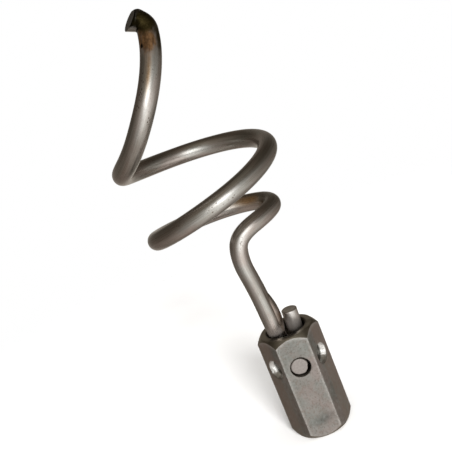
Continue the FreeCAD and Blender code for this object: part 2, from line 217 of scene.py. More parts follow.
def bar_material():
    """Drawn round bar, lightly browned, with mill streaks along it, burnt black and rust
    brown at the forged point, with painted shade, painted highlights and painted light at
    listed places."""
    n = Nodes("bar_steel_satin")
    flow = n.attribute("flow", True)        # x, y across the bar, z along it
    streak = n.noise(n.scaled(flow, 1.0, 1.0, 0.030), 1.0, 4, 0.6)
    line = n.noise(n.scaled(flow, 2.6, 2.6, 0.050, (7, 3, 1)), 1.0, 3, 0.6)
    cloud = n.noise(n.scaled(flow, 0.24, 0.24, 0.070, (3, 9, 4)), 1.0, 5, 0.64)
    hue = n.noise(n.scaled(flow, 0.17, 0.17, 0.055, (13, 2, 8)), 1.0, 4, 0.55)
    grain = n.noise(n.scaled(flow, 1.9, 1.9, 1.3), 1.0, 4, 0.7)
    speck = n.noise(n.scaled(flow, 3.4, 3.4, 2.6, (4, 4, 9)), 1.0, 2, 0.6)

    tone = n.math("ADD", n.math("MULTIPLY", n.span(streak, 0.3, 0.7), 0.5),
                  n.math("MULTIPLY", n.span(cloud, 0.32, 0.68), 0.5))
    color = n.mix(tone, (0.355, 0.325, 0.295), (0.735, 0.732, 0.722))
    warm = n.mix(n.span(hue, 0.38, 0.62), (0.470, 0.485, 0.445),
                 (0.560, 0.462, 0.415))
    color = n.mix(0.42, color, warm)
    color = n.mix(n.span(grain, 0.52, 0.74, 0.0, 0.36), color,
                  (0.27, 0.235, 0.20))
    color = n.mix(n.span(line, 0.55, 0.72, 0.0, 0.24), color,
                  (0.76, 0.755, 0.745))
    color = n.mix(n.span(line, 0.46, 0.30, 0.0, 0.24), color,
                  (0.27, 0.235, 0.205))

    # painted shade: browner, duller patches at listed places along the bar, partly
    # standing in for reflections the lights don't give, partly a browner tone of the steel
    shade = n.math("MULTIPLY", n.attribute("shade"),
                   n.span(cloud, 0.25, 0.6, 0.65, 1.0), True)
    color = n.mix(n.math("MULTIPLY", shade, 0.75), color,
                  (0.215, 0.165, 0.125))

    # painted highlights: lighter, slightly smoother spots on the strands where their
    # bright highlights fall
    painted_highlight = n.math("MULTIPLY", n.attribute("painted_highlight"),
                    n.span(grain, 0.60, 0.40, 0.7, 1.0), True)
    color = n.mix(n.math("MULTIPLY", painted_highlight, 0.8), color,
                  (0.90, 0.895, 0.88))

    # golden brown stain where the back strand was hot or rubbed
    stain = n.math("MULTIPLY", n.attribute("stain"),
                   n.span(cloud, 0.25, 0.55, 0.45, 1.0), True)
    color = n.mix(stain, color, n.mix(n.span(grain, 0.3, 0.7),
                                      (0.36, 0.215, 0.105),
                                      (0.52, 0.36, 0.22)))

    # painted shade and dark lines: near-black brown in the creases where the ridge meets
    # the bar, and brown lines and patches on and beside the ridge
    crease_shade_and_lines = n.math("MULTIPLY", n.attribute("crease_shade_and_lines"),
                    n.span(streak, 0.25, 0.6, 0.6, 1.0), True)
    color = n.mix(crease_shade_and_lines, color, n.mix(n.span(line, 0.4, 0.6),
                                       (0.060, 0.044, 0.032),
                                       (0.230, 0.155, 0.110)))

    # heat scale at the point: rust brown first, then olive, then black
    edge = n.math("SUBTRACT", n.noise(n.scaled(flow, 0.50, 0.50, 0.28,
                                               (1, 5, 2)), 1.0, 5, 0.62), 0.5)
    rust = n.span(n.math("ADD", n.attribute("rust"),
                         n.math("MULTIPLY", edge, 1.3)), 0.05, 1.15)
    patchy = n.noise(n.scaled(flow, 0.75, 0.75, 0.42, (6, 1, 3)), 1.0, 5, 0.65)
    rust_tone = n.mix(n.span(patchy, 0.36, 0.64), (0.130, 0.068, 0.026),
                      (0.330, 0.178, 0.078))
    color = n.mix(rust, color, rust_tone)
    olive = n.span(n.math("ADD", n.attribute("olive"),
                          n.math("MULTIPLY", edge, 0.9)), 0.10, 1.10)
    olive_tone = n.mix(n.span(grain, 0.35, 0.65), (0.034, 0.026, 0.008),
                       (0.078, 0.060, 0.024))
    color = n.mix(olive, color, olive_tone)
    scale = n.span(n.math("ADD", n.attribute("scale"),
                          n.math("MULTIPLY", edge, 0.8)), 0.20, 0.90)
    scale_tone = n.mix(n.span(grain, 0.35, 0.65), (0.004, 0.003, 0.001),
                       (0.013, 0.010, 0.004))
    color = n.mix(scale, color, scale_tone)
    cap_tone = n.mix(n.span(grain, 0.35, 0.65), (0.055, 0.055, 0.045),
                     (0.115, 0.117, 0.100))
    color = n.mix(n.attribute("cap"), color, cap_tone)

    # small brown pits, only in a few places
    away, cell = n.cells(n.scaled(flow, 0.95, 0.95, 0.75), 1.0)
    pick = n.node("ShaderNodeSeparateColor")
    n.link(cell, pick.inputs[0])
    some = n.span(pick.outputs[0], 0.20, 0.32)
    pit = n.math("MULTIPLY", n.span(away, 0.16, 0.36, 1.0, 0.0), some)
    pit = n.math("MULTIPLY", pit, n.span(n.attribute("pits"), 0.15, 0.6), True)
    color = n.mix(n.math("MULTIPLY", pit, 0.85), color, (0.10, 0.055, 0.034))

    rough = n.math("ADD", n.span(streak, 0.25, 0.75, 0.235, 0.305),
                   n.math("MULTIPLY", n.span(grain, 0.45, 0.75), 0.09))
    rough = n.math("ADD", rough, n.math("MULTIPLY", shade, 0.06))
    rough = n.math("SUBTRACT", rough, n.math("MULTIPLY", painted_highlight, 0.03))
    rough = n.math("ADD", rough, n.math("MULTIPLY", n.math(
        "MAXIMUM", rust, olive), 0.20))
    rough = n.math("ADD", rough, n.math("MULTIPLY", scale, 0.04), True)
    burnt = n.math("MAXIMUM", scale, olive)
    # painted light near the mouth: a lighter, less metallic patch
    painted_light_patch = n.math("MULTIPLY", n.attribute("painted_light_patch"),
                  n.span(cloud, 0.25, 0.6, 0.75, 1.0), True)
    color = n.mix(n.math("MULTIPLY", painted_light_patch, n.math(
        "SUBTRACT", 0.6, n.math("MULTIPLY", n.math(
            "MAXIMUM", crease_shade_and_lines, stain), 0.6))), color, (0.70, 0.62, 0.58))
    metal = n.math("SUBTRACT", 1.0, n.math("MULTIPLY", n.math(
        "MULTIPLY", rust, n.math("SUBTRACT", 1.0, burnt)), 0.45))
    metal = n.math("MULTIPLY", metal, n.math(
        "SUBTRACT", 1.0, n.math("MULTIPLY", painted_light_patch, 0.62)))
    height = n.math("ADD", n.math("MULTIPLY", line, 0.8),
                    n.math("MULTIPLY", grain, 1.0))
    height = n.math("ADD", height, n.math("MULTIPLY", speck, 0.45))
    height = n.math("SUBTRACT", height, n.math("MULTIPLY", pit, 2.2))
    normal = n.bump(height, 0.00007, 0.36)
    return n.steel(color, rough, normal, metal)


def cut_material(name, dark, light, streaks):
    """A sawn or chopped end: fine parallel saw lines over mottled steel."""
    n = Nodes(name)
    flow = n.attribute("flow", True)
    lines = n.noise(n.scaled(flow, *streaks), 1.0, 4, 0.6)
    grain = n.noise(n.scaled(flow, 0.9, 0.9, 0.9, (2, 2, 2)), 1.0, 5, 0.6)
    color = n.mix(n.span(grain, 0.3, 0.7), dark, light)
    color = n.mix(n.span(lines, 0.52, 0.75, 0.0, 0.35), color,
                  tuple(min(1.0, c * 1.5) for c in light))
    rough = n.span(grain, 0.3, 0.7, 0.42, 0.56)
    normal = n.bump(n.math("ADD", lines, n.math("MULTIPLY", grain, 0.6)),
                    0.00008, 0.6)
    return n.steel(color, rough, normal)


def coupling_material(name, kind):
    """Hexagon bar. kind: flat, turned, bore, hole or thread."""
    n = Nodes(name)
    at = n.position()                        # metres
    mm = n.scaled(at, 1000, 1000, 1000)
    part = n.node("ShaderNodeSeparateXYZ")
    n.link(mm, part.inputs[0])
    grain = n.noise(n.scaled(mm, 2.2, 2.2, 2.2), 1.0, 5, 0.65)
    cloud = n.noise(n.scaled(mm, 0.13, 0.13, 0.09, (5, 1, 0)), 1.0, 5, 0.6)
    hue = n.noise(n.scaled(mm, 0.10, 0.10, 0.075, (31, 17, 5)), 1.0, 4, 0.55)
    if kind == "flat":
        draw = n.noise(n.scaled(mm, 2.2, 2.2, 0.07), 1.0, 4, 0.6)
        mottle = n.noise(n.scaled(mm, 0.62, 0.62, 0.5, (9, 4, 2)), 1.0, 5, 0.68)
        fine = n.noise(n.scaled(mm, 1.5, 1.5, 1.2, (2, 8, 3)), 1.0, 3, 0.7)
        color = n.mix(n.span(cloud, 0.34, 0.66), (0.325, 0.305, 0.285),
                      (0.445, 0.432, 0.415))
        tint = n.mix(n.span(hue, 0.36, 0.64), (0.345, 0.375, 0.350),
                     (0.455, 0.385, 0.360))
        color = n.mix(0.55, color, tint)
        color = n.mix(n.span(mottle, 0.50, 0.66, 0.0, 0.62), color,
                      (0.290, 0.242, 0.212))
        color = n.mix(n.span(mottle, 0.46, 0.30, 0.0, 0.50), color,
                      (0.545, 0.545, 0.530))
        color = n.mix(n.span(fine, 0.54, 0.70, 0.0, 0.62), color,
                      (0.225, 0.202, 0.180))
        away, cell = n.cells(n.scaled(mm, 0.85, 0.85, 0.7, (3, 6, 1)), 1.0)
        pick = n.node("ShaderNodeSeparateColor")
        n.link(cell, pick.inputs[0])
        dot = n.math("MULTIPLY", n.span(away, 0.10, 0.24, 1.0, 0.0),
                     n.span(pick.outputs[0], 0.70, 0.78))
        color = n.mix(n.math("MULTIPLY", dot, 0.65), color,
                      (0.120, 0.100, 0.085))
        color = n.mix(n.span(draw, 0.56, 0.72, 0.0, 0.28), color,
                      (0.62, 0.61, 0.59))
        # painted light: the five flats other than the front one are browner, set by which
        # way they face the light
        side_flats_painted_light = n.math("MULTIPLY", n.attribute("side_flats_painted_light"),
                     n.span(mottle, 0.3, 0.6, 0.5, 1.0), True)
        color = n.mix(n.math("MULTIPLY", side_flats_painted_light, 0.6), color,
                      (0.430, 0.355, 0.305))
        # wear and painted highlight: rubbed bright along the six long edges and the
        # chamfer's rim, more on the top rim than the bottom
        edge_wear_and_highlight = n.math("MULTIPLY", n.attribute("edge_wear_and_highlight"),
                     n.span(fine, 0.30, 0.62, 1.0, 0.45), True)
        color = n.mix(n.math("MULTIPLY", edge_wear_and_highlight, 0.70), color,
                      (0.80, 0.79, 0.77))
        # a dark smudge low on the front flat
        smudge = n.math("MULTIPLY", n.attribute("smudge"),
                        n.span(mottle, 0.3, 0.7, 0.55, 1.0), True)
        color = n.mix(n.math("MULTIPLY", smudge, 0.80), color,
                      (0.135, 0.140, 0.130))
        rough = n.math("ADD", n.span(mottle, 0.3, 0.7, 0.66, 0.56),
                       n.math("MULTIPLY", n.span(fine, 0.4, 0.75), 0.10))
        height = n.math("ADD", n.math("MULTIPLY", draw, 0.5),
                        n.math("MULTIPLY", fine, 1.0))
        height = n.math("ADD", height, n.math("MULTIPLY", mottle, 0.8))
        height = n.math("SUBTRACT", height, n.math("MULTIPLY", dot, 0.8))
        normal = n.bump(height, 0.00007, 0.55)
        return n.steel(color, rough, normal)
    if kind == "hole":
        # drilled: feed marks ring the wall, each a shallow groove
        depth = n.attribute("depth")
        wander = n.noise(n.scaled(mm, 0.5, 0.5, 0.5), 1.0, 2, 0.5)
        turns = n.math("ADD", n.math("MULTIPLY", depth, 1.25),
                       n.math("MULTIPLY", wander, 1.2))
        feed = n.math("SUBTRACT", 1.0, n.math("FRACT", turns))
        color = n.mix(n.span(feed, 0.35, 0.65), (0.72, 0.71, 0.68),
                      (0.92, 0.915, 0.90))
        color = n.mix(n.span(grain, 0.50, 0.72, 0.0, 0.55), color,
                      (0.36, 0.34, 0.30))
        # painted shade: the hole wall darkens deeper in
        color = n.mix(n.span(depth, 11.0, 12.3, 0.92, 0.0), color,
                      (0.050, 0.044, 0.034))
        # painted shade round each hole's outer lip and over the whole front hole's wall
        color = n.mix(n.math("MULTIPLY", n.attribute("lip"), 0.9), color,
                      (0.075, 0.062, 0.048))
        rough = n.span(grain, 0.3, 0.7, 0.30, 0.38)
        normal = n.bump(n.math("ADD", feed, n.math("MULTIPLY", grain, 0.08)),
                        0.00044, 1.0)
        return n.steel(color, rough, normal)
    # turned surfaces: fine rings about the coupling's axis
    radius = n.math("SQRT", n.math("ADD", n.math("MULTIPLY", part.outputs[0],
                                                 part.outputs[0]),
                                   n.math("MULTIPLY", part.outputs[1],
                                          part.outputs[1])))
    ring = n.node("ShaderNodeCombineXYZ")
    n.link(radius, ring.inputs[0])
    n.link(part.outputs[2], ring.inputs[2])
    rings = n.noise(n.scaled(ring.outputs[0], 5.0, 1.0, 5.0), 1.0, 3, 0.6)
    if kind == "turned":
        low, high, r0, r1 = (0.27, 0.245, 0.195), (0.47, 0.435, 0.37), .30, .42
    else:
        low, high, r0, r1 = (0.13, 0.115, 0.085), (0.24, 0.22, 0.17), .42, .55
    color = n.mix(n.span(cloud, 0.3, 0.7), low, high)
    color = n.mix(n.span(rings, 0.5, 0.75, 0.0, 0.3), color,
                  tuple(min(1.0, c * 1.45) for c in high))
    color = n.mix(n.span(grain, 0.52, 0.78, 0.0, 0.35), color,
                  tuple(c * 0.55 for c in low))
    # painted shade round the mouth and on the top's front, and painted glints on the top
    # beside the mouth
    mouth_shade = n.math("MULTIPLY", n.attribute("top_painted_shade"),
                    n.span(grain, 0.25, 0.6, 0.6, 1.0), True)
    color = n.mix(n.math("MULTIPLY", mouth_shade, 0.96), color,
                  (0.014, 0.012, 0.007))
    color = n.mix(n.attribute("glint"), color, (0.78, 0.76, 0.68))
    rough = n.span(grain, 0.3, 0.7, r0, r1)
    normal = n.bump(n.math("ADD", rings, n.math("MULTIPLY", grain, 0.5)),
                    0.00006, 0.6)
    return n.steel(color, rough, normal)


def pin_material():
    n = Nodes("pin_steel_satin")
    flow = n.attribute("flow", True)
    streak = n.noise(n.scaled(flow, 1.6, 1.6, 0.05, (4, 4, 0)), 1.0, 4, 0.6)
    cloud = n.noise(n.scaled(flow, 0.3, 0.3, 0.16, (8, 2, 6)), 1.0, 4, 0.6)
    grain = n.noise(n.scaled(flow, 3.0, 3.0, 2.0), 1.0, 4, 0.65)
    tone = n.math("ADD", n.math("MULTIPLY", n.span(streak, 0.3, 0.7), 0.4),
                  n.math("MULTIPLY", n.span(cloud, 0.3, 0.7), 0.6))
    color = n.mix(tone, (0.70, 0.655, 0.625), (0.93, 0.915, 0.895))
    color = n.mix(n.span(grain, 0.5, 0.74, 0.0, 0.45), color,
                  (0.25, 0.215, 0.18))
    # wear and painted highlight round the top edge
    edge_wear_and_highlight = n.math("MULTIPLY", n.attribute("edge_wear_and_highlight"),
                 n.span(grain, 0.3, 0.6, 0.5, 1.0), True)
    color = n.mix(n.math("MULTIPLY", edge_wear_and_highlight, 0.7), color, (0.72, 0.70, 0.67))
    rough = n.span(grain, 0.3, 0.7, 0.27, 0.37)
    # painted light: a lighter, less metallic patch on the lower part, at and above the
    # mouth
    painted_light_patch = n.math("MULTIPLY", n.attribute("painted_light_patch"),
                  n.span(cloud, 0.25, 0.6, 0.75, 1.0), True)
    metal = n.math("SUBTRACT", 1.0, n.math("MULTIPLY", painted_light_patch, 0.55))
    color = n.mix(n.math("MULTIPLY", painted_light_patch, 0.7), color, (0.66, 0.60, 0.565))
    normal = n.bump(n.math("ADD", n.math("MULTIPLY", streak, 0.4), grain),
                    0.00005, 0.5)
    return n.steel(color, rough, normal, metal)


# ---------------------------------------------------------------------------
# the bar's centre line, in millimetres, as the CAD bar is bent
# ---------------------------------------------------------------------------

STATIONS = np.array([
    (-5.2, -0.6, 58.5), (-5.8, -0.8, 67.9), (-6.9, -1.5, 87.9),
    (-7.8, -3.3, 107.9), (-5.3, -3.7, 114.8), (0.7, -3.0, 119.0),
    (7.5, -0.4, 120.8), (13.5, 4.1, 122.0), (17.3, 10.4, 123.2),
    (15.6, 17.2, 124.3), (9.7, 21.8, 125.1), (2.5, 24.2, 125.8),
    (-9.8, 24.5, 126.8), (-27.3, 17.6, 128.4), (-39.0, 3.6, 130.5),
    (-42.4, -14.2, 133.5), (-37.0, -30.9, 137.4), (-24.1, -42.6, 142.1),
    (-7.3, -46.4, 147.0), (8.9, -41.4, 151.4), (20.7, -29.0, 155.2),
    (25.0, -12.5, 158.0), (20.7, 4.1, 160.0), (8.9, 16.6, 161.4),
    (-7.6, 22.0, 162.6), (-24.6, 18.8, 163.9), (-38.1, 7.8, 165.7),
    (-44.8, -8.5, 168.4), (-43.2, -26.4, 172.6), (-34.6, -41.7, 180.5),
    (-23.3, -51.7, 193.6), (-17.4, -52.5, 201.8), (-12.2, -50.0, 210.6),
    (-6.4, -42.0, 228.0)])
BAR_R = 4.75
TANG_END = np.array([-0.4, -15.0, 42.95])
TANG_ROOT = TANG_END + np.array([0, 5.4, 0])
MOUTH_DIR = unit([-0.09, 0.08, 1.0])
BEND_DIR = unit([0.1164, 0.4135, 0.9030])
POINT_DIR = unit([-0.9031, -0.1891, 0.3854])
CUT_NORMAL = unit([-0.6914, -0.2702, 0.6701])
POINT_R = 5.25
POINT_RUN = 2.35


def spline_tangents(points, first, last):
    """Directions of the clamped cubic spline through the points, on chord
    length."""
    d = np.linalg.norm(np.diff(points, axis=0), axis=1)
    k = len(points)
    a = np.zeros((k, k))
    b = np.zeros((k, 3))
    a[0, 0] = a[-1, -1] = 1
    b[0], b[-1] = first, last
    slope = np.diff(points, axis=0) / d[:, None]
    for i in range(1, k - 1):
        a[i, i - 1] = d[i]
        a[i, i] = 2 * (d[i - 1] + d[i])
        a[i, i + 1] = d[i - 1]
        b[i] = 3 * (d[i] * slope[i - 1] + d[i - 1] * slope[i])
    t = np.linalg.solve(a, b)
    return t / np.linalg.norm(t, axis=1)[:, None]


def arc_points(p0, t0, p1, gap):
    chord = p1 - p0
    length = np.linalg.norm(chord)
    along = chord / length
    c = float(t0 @ along)
    side = t0 - along * c
    s = float(np.linalg.norm(side))
    half = math.asin(min(1.0, s))
    if half < 1e-4:
        u = np.linspace(0, 1, max(2, math.ceil(length / gap)), endpoint=False)
        return p0 + u[:, None] * chord, np.repeat(along[None], len(u), 0), along
    radius = length / (2 * math.sin(half))
    side = side / s
    inward = along * math.sin(half) - side * math.cos(half)
    centre = p0 + radius * inward
    a = np.linspace(0, 2 * half, max(2, math.ceil(2 * half * radius / gap)),
                    endpoint=False)
    pts = (centre - radius * inward * np.cos(a)[:, None]
           + radius * t0 * np.sin(a)[:, None])
    tan = inward * np.sin(a)[:, None] + t0 * np.cos(a)[:, None]
    return pts, tan, inward * math.sin(2 * half) + t0 * math.cos(2 * half)


def centre_line(gap):
    tangents = spline_tangents(STATIONS, MOUTH_DIR, BEND_DIR)
    nodes = [(TANG_ROOT, np.array([0, 1.0, 0]))]
    nodes += [(STATIONS[i], tangents[i]) for i in range(len(STATIONS))]
    u = np.arange(0, 5.4 - 1e-9, 0.6)
    pts = [TANG_END + u[:, None] * np.array([0, 1.0, 0])]
    tan = [np.repeat(np.array([[0, 1.0, 0]]), len(u), 0)]
    for (p0, t0), (p1, t1) in zip(nodes[:-1], nodes[1:]):
        span, both = p1 - p0, t0 + t1
        a = 2 * (1 - t0 @ t1)
        b = span @ both
        if a < 1e-12:
            reach = span @ span / (2 * b)
        else:
            reach = (-b + math.sqrt(b * b + a * (span @ span))) / a
        joint = (p0 + t0 * reach + p1 - t1 * reach) / 2
        p, t, turned = arc_points(p0, t0, joint, gap)
        pts.append(p)
        tan.append(t)
        p, t, turned = arc_points(joint, turned, p1, gap)
        pts.append(p)
        tan.append(t)
    # the sharp turn at the point
    p0 = STATIONS[-1]
    bend = math.acos(float(BEND_DIR @ POINT_DIR))
    inward = unit(POINT_DIR - BEND_DIR * math.cos(bend))
    a = np.linspace(0, bend, 34)
    pts.append(p0 + POINT_R * (inward * (1 - np.cos(a))[:, None]
                               + BEND_DIR * np.sin(a)[:, None]))
    tan.append(BEND_DIR * np.cos(a)[:, None] + inward * np.sin(a)[:, None])
    return np.vstack(pts), np.vstack(tan)


def carried_frames(tan):
    """Two cross directions carried along without twist."""
    u = np.zeros_like(tan)
    w = np.array([1.0, 0, 0]) - tan[0] * tan[0][0]
    w /= np.linalg.norm(w)
    for i in range(len(tan)):
        w = w - tan[i] * (w @ tan[i])
        w /= np.linalg.norm(w)
        u[i] = w
    return u, np.cross(tan, u)


def wrap(a):
    return (a + math.pi) % (2 * math.pi) - math.pi


# ---------------------------------------------------------------------------
# spiral bar
# ---------------------------------------------------------------------------

EYE = np.array([9.2, -396.3, 226.1])        # the camera, mm
IMAGE_RIGHT = np.array([0.92915, -0.05198, -0.36602])
IMAGE_UP = np.array([0.36704, 0.24797, 0.89654])
TOWARD_EYE = np.array([0.04416, -0.96737, 0.24948])


def build_bar():
    around = 96
    line, tan = centre_line(0.75)
    u, v = carried_frames(tan)
    s = np.concatenate([[0], np.cumsum(np.linalg.norm(np.diff(line, axis=0),
                                                      axis=1))])
    th = np.arange(around) * 2 * math.pi / around
    cos, sin = np.cos(th), np.sin(th)

    # the ridge forged on the shank: a shallow bow that stands out of the bar
    shank = np.argmin(np.abs(line[:, 2] - 71.0) + 1e3 * (s > 80))
    out = np.array([1.0, -0.15, 0.0])
    out = unit(out - tan[shank] * (out @ tan[shank]))
    th0 = math.atan2(out @ v[shank], out @ u[shank])
    ds = s - s[shank]
    rise = np.where(np.abs(ds) < 20,
                    4.05 - (38 - np.sqrt(np.maximum(0, 38 ** 2 - ds ** 2))),
                    -9)

    verts, flow, smat = [], [], []
    radius = np.full((len(line), around), BAR_R)
    crease_shade_and_lines = np.zeros((len(line), around))
    for i in range(len(line)):
        if rise[i] > -1.2:
            e = rise[i]
            dth = wrap(th - th0)
            root = 2.5 ** 2 - (e * np.sin(dth)) ** 2
            rho = np.where(root > 0,
                           e * np.cos(dth) + np.sqrt(np.maximum(root, 0)), 0)
            rho = np.where(np.abs(dth) < 1.5, rho, 0)
            radius[i] = np.maximum(BAR_R, rho)
            lift = rho - BAR_R
            # painted shade in the creases where the ridge stands out of the bar
            crease_shade_and_lines[i] = (np.exp(-(lift / 0.20) ** 2) * step(e, 2.1, 2.6)
                         * (0.25 + 0.75 * step(ds[i], -7.0, -1.0)))
    # the chop's burr starts inside the last of the bend, on its upper side
    top_end = IMAGE_UP - tan[-1] * (IMAGE_UP @ tan[-1])
    th_burr = math.atan2(top_end @ v[-1], top_end @ u[-1])
    radius = radius + (0.45 * np.exp(-(wrap(th - th_burr) / 0.62) ** 2)[None]
                       * step(s, s[-1] - 2.6, s[-1] - 0.6)[:, None])
    # soft hollows and hammer marks, always inward
    wob = (0.5 + 0.25 * np.sin(0.21 * s[:, None] + 2 * th[None] + 0.6)
           + 0.25 * np.sin(0.083 * s[:, None] - th[None] + 2.0))
    inner = ((s > 12) & (s < s[-1] - 6))[:, None]
    radius = radius - 0.045 * wob * inner

    for i in range(len(line)):
        ring = (line[i] + radius[i][:, None] * (cos[:, None] * u[i]
                                                + sin[:, None] * v[i]))
        verts.append(ring)
        flow.append(np.stack([BAR_R * cos, BAR_R * sin,
                              np.full(around, s[i])], 1))
    faces = []
    rings = len(line)

    def quad(a, b, slot):
        for k in range(around):
            k2 = (k + 1) % around
            faces.append(((a * around + k, a * around + k2,
                           b * around + k2, b * around + k), slot))

    for i in range(rings - 1):
        quad(i, i + 1, 0)

    # the chopped point: every line along the bar ends on the cut. The chop
    # left a blunt burr on top and a shallow step behind the near edge.
    last = rings - 1
    centre = line[last] + POINT_DIR * POINT_RUN
    top_dir = unit(IMAGE_UP - POINT_DIR * (IMAGE_UP @ POINT_DIR))
    th_top = math.atan2(top_dir @ v[last], top_dir @ u[last])
    near_dir = unit(TOWARD_EYE - POINT_DIR * (TOWARD_EYE @ POINT_DIR))
    th_near = math.atan2(near_dir @ v[last], near_dir @ u[last])
    from_top = wrap(th - th_top)
    from_near = wrap(th - th_near)
    burr = 0.25 * np.exp(-(from_top / 0.62) ** 2)
    nick = 0.22 * np.exp(-((from_near + 0.1) / 0.85) ** 2)

    def run_out(x):
        return ((centre - x) @ CUT_NORMAL) / (POINT_DIR @ CUT_NORMAL)

    spokes = cos[:, None] * u[last] + sin[:, None] * v[last]
    base = verts[-1]
    count = rings
    full = run_out(base)
    tip_rings = 0
    tip_crease_shade = []
    for share in (0.12, 0.26, 0.40, 0.52, 0.62, 0.70, 0.77, 0.83, 0.88, 0.93,
                  0.97, 1.0):
        bump = (burr * (step(share, 0.0, 0.4) - 3.0 * step(share, 0.55, 1.0))
                - nick * step(share, 0.55, 0.75) * step(share, 0.97, 0.85))
        if share == 1.0:
            bump = bump - 0.12
        x = base + spokes * bump[:, None]
        ring = x + POINT_DIR * (run_out(x) * share)[:, None]
        verts.append(ring)
        flow.append(np.stack([BAR_R * cos, BAR_R * sin,
                              s[last] + full * share], 1))
        # painted shade: near-black in the crease just behind the cut's near edge, on the
        # side facing the camera
        tip_crease_shade.append(1.5 * np.exp(-((from_near + 0.1) / 1.1) ** 2)
                        * step(share, 0.30, 0.62))
        quad(count - 1, count, 0)
        count += 1
        tip_rings += 1
    rim = base + spokes * (-2.0 * burr - 0.12)[:, None]
    for share in (0.965, 0.92, 0.84, 0.72, 0.58, 0.43, 0.28, 0.14, 0.04):
        x = line[last] + (rim - line[last]) * share
        dent = 0.10 * np.sin(2.2 * share + 1.6 * np.cos(th + 0.7)) \
            * step(share, 1.0, 0.6)
        ring = x + POINT_DIR * (run_out(x) - dent)[:, None]
        verts.append(ring)
        flow.append(np.stack([BAR_R * share * cos, BAR_R * share * sin,
                              np.full(around, 600.0)], 1))
        tip_crease_shade.append(np.zeros(around))
        quad(count - 1, count, 1)
        count += 1
        tip_rings += 1
    faces.append((tuple((count - 1) * around + k for k in range(around)), 1))

    # the tang's end: a small rounded chamfer and a sawn face, from the other
    # end of the same rings
    start = []
    for r, y in ((4.72, 0.42), (4.62, 0.27), (4.46, 0.11), (4.28, 0.02),
                 (4.1, 0.0), (3.4, 0.0), (2.4, 0.0), (1.2, 0.0), (0.3, 0.0)):
        start.append((r, y))
    # the bar was sheared, so its end drops away on one side, unevenly
    rays = cos[:, None] * u[0] + sin[:, None] * v[0]
    phi = np.arctan2(rays @ IMAGE_UP, rays @ IMAGE_RIGHT)
    worn = 0.50 * step(np.cos(phi + 1.05), -0.15, 0.45) \
        * (0.85 + 0.22 * np.sin(4 * phi + 1.0) + 0.12 * np.sin(9 * phi))
    for i in range(1, 5):
        deep = step(line[i][1] - TANG_END[1], 2.6, 0.4)
        verts[i] = verts[i] - rays * (worn * deep)[:, None]
    # first ring moves up to the chamfer's top
    verts[0] = TANG_END + np.array([0, 0.5, 0]) + (BAR_R - worn)[:, None] * rays
    for j, (r, y) in enumerate(start):
        ring = (TANG_END + np.array([0, y, 0])
                + (r - worn * (r / BAR_R) ** 2)[:, None] * rays)
        verts.append(ring)
        flow.append(np.stack([r * cos, r * sin, np.full(around, -20.0)], 1))
        below = 0 if j == 0 else count - 1
        slot = 0 if j < 2 else 2
        for k in range(around):
            k2 = (k + 1) % around
            faces.append(((below * around + k2, below * around + k,
                           count * around + k, count * around + k2), slot))
        count += 1
    faces.append((tuple((count - 1) * around + k
                        for k in reversed(range(around))), 2))

    verts = np.vstack(verts)
    flow = np.vstack(flow)
    # the top of the burr is struck flat, level with the bar's highest point
    limit = CAD_BOX[1][2] / MM - 0.01
    give = 0.55
    over = verts[:, 2] - (limit - give)
    verts[:, 2] = np.where(over > 0, limit - give * np.exp(-over / give),
                           verts[:, 2])
    obj = new_mesh_object(
        "bar_spiral", verts, faces,
        [bar_material(),
         cut_material("point_cut_face", (0.15, 0.148, 0.14),
                      (0.36, 0.355, 0.34), (2.4, 0.30, 1.0)),
         cut_material("tang_sawn_face", (0.33, 0.30, 0.285),
                      (0.46, 0.43, 0.41), (0.3, 2.6, 1.0))])
    mesh = obj.data

    # painted areas: each is a place along the bar and round it
    total = len(verts)
    along = np.concatenate([np.repeat(s, around),
                            np.full(total - rings * around, 0.0)])
    ring_of = np.concatenate([np.repeat(np.arange(rings), around),
                              np.zeros(total - rings * around, int)])
    tip = slice(rings * around, (rings + tip_rings) * around)
    along[tip] = s[-1] + 1.5
    ring_of[tip] = rings - 1
    theta = np.tile(th, total // around)
    look = EYE - line
    look = look - tan * np.sum(look * tan, axis=1)[:, None]
    look /= np.linalg.norm(look, axis=1)[:, None]
    front = np.arctan2(np.sum(look * v, 1), np.sum(look * u, 1))
    # angle off the side that faces the camera, positive to the image's right
    off = wrap(theta - front[ring_of])
    right_sign = np.sign(np.sum(np.cross(tan, look) * IMAGE_RIGHT, 1))
    off = off * right_sign[ring_of]

    def patch(s0, ds_, o0, do):
        return np.exp(-((along - s0) / ds_) ** 2
                      - (wrap(off - o0) / do) ** 2)

    def gather(marks):
        got = np.zeros(total)
        for s0, ds_, o0, do, amount in marks:
            got = np.maximum(got, amount * patch(s0, ds_, o0, do))
        return got

    # underside of the point stays bare: it is measured from the side that
    # faces down, which the hot scale never reached
    spoke = (np.cos(theta)[:, None] * u[ring_of]
             + np.sin(theta)[:, None] * v[ring_of])
    under = (0.70 * step(-(spoke @ IMAGE_UP), 0.55, 0.90)
             * step(along, 519, 525))
    scale = gather(SCALE)
    rust = gather(RUST)
    olive = gather(OLIVE) * (1 - under)
